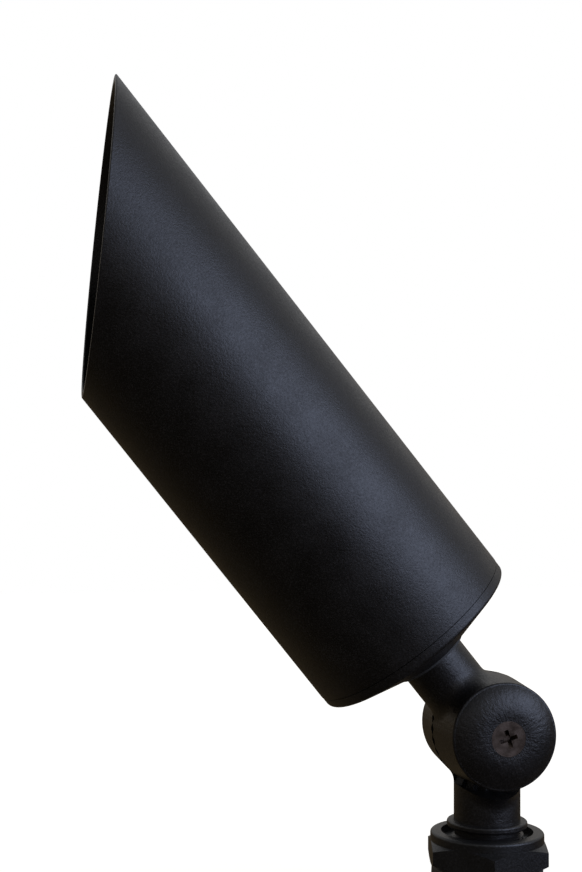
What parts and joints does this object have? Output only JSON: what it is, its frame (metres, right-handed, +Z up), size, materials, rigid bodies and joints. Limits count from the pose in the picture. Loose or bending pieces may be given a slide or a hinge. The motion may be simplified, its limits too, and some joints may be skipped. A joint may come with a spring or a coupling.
{
  "type": "garden spike spotlight",
  "caption": "Garden spotlight: a long angle-cut cylindrical head with a recessed lens on a toothed tilt knuckle, locked by a hex nut into a ribbed ground stake.",
  "frame": {"origin": "on the stake's axis at the ground line, under the stake's flange", "axes": "+Z up along the stake and nipple; the knuckle turns about Y with its screw head towards -Y; the head points up and towards -X"},
  "size_m": [0.1442, 0.0634, 0.4583],
  "materials": {
    "black_coat": "satin black powder coat with a fine sand texture",
    "nut_coat": "satin black coat",
    "screw_steel": "dull bronze-grey coated steel",
    "stake_plastic": "matte black moulded plastic",
    "black_rubber": "black seal rubber",
    "silicone": "red-brown silicone",
    "zinc_steel": "zinc plated",
    "brass": "machined",
    "white_ceramic": "unglazed steatite",
    "lead_sleeve": "silicone sleeved leads",
    "pin_metal": "nickel plated",
    "mirror_coat": "mirror coated pressed glass",
    "quartz": "clear quartz",
    "tungsten": "wire",
    "lamp_glass": "clear",
    "lens_glass": "clear tempered",
    "seat_aluminium": "turned"
  },
  "bodies": {
    "stake": {"ground_stake": "stake_plastic"},
    "base": {"lower_knuckle": "black_coat"},
    "lock_ring": {"locknut": "nut_coat"},
    "clamp_screw": {"knuckle_screw": "screw_steel"},
    "head": {"upper_knuckle": "black_coat", "knuckle_seal": "black_rubber", "rear_cap": "black_coat", "cap_o_ring": "black_rubber", "stem_gasket": "black_rubber", "stem_lock_washer": "zinc_steel", "stem_nut": "brass", "lamp_bracket": "zinc_steel", "bracket_screws": "zinc_steel", "lamp_holder": "white_ceramic", "holder_contacts": "brass", "holder_screws": "zinc_steel", "lead_wires": "lead_sleeve", "lead_grommet": "black_rubber"},
    "lamp": {"lamp_base": "white_ceramic", "lamp_pins": "pin_metal", "lamp_reflector": "mirror_coat", "lamp_capsule": "quartz", "lamp_filament": "tungsten", "lamp_front_glass": "lamp_glass"},
    "shroud": {"shroud_tube": "black_coat", "lens_seat_ring": "seat_aluminium", "lens_gasket": "silicone", "lens": "lens_glass", "lens_clip": "zinc_steel"}
  },
  "joints": [
    {"name": "pan", "type": "hinge", "parent": "stake", "child": "base", "pos_m": [0, 0, 0.0297], "axis": [0, 0, 1], "range_deg": [-180, 180]},
    {"name": "tilt", "type": "hinge", "parent": "base", "child": "head", "pos_m": [0, 0, 0.0687], "axis": [0, 1, 0], "range_deg": [-66, 144]},
    {"name": "locknut_turn", "type": "hinge", "parent": "base", "child": "lock_ring", "pos_m": [0, 0, 0.0344], "axis": [0, 0, 1], "continuous": true},
    {"name": "knuckle_screw_turn", "type": "hinge", "parent": "base", "child": "clamp_screw", "pos_m": [0, 0, 0.0687], "axis": [0, -1, 0], "continuous": true},
    {"name": "lamp_pull", "type": "slide", "parent": "head", "child": "lamp", "axis": [-0.6293, 0, 0.7771], "range_m": [0, 0.01]},
    {"name": "shroud_off", "type": "slide", "parent": "head", "child": "shroud", "axis": [-0.6293, 0, 0.7771], "range_m": [0, 0.075]}
  ]
}
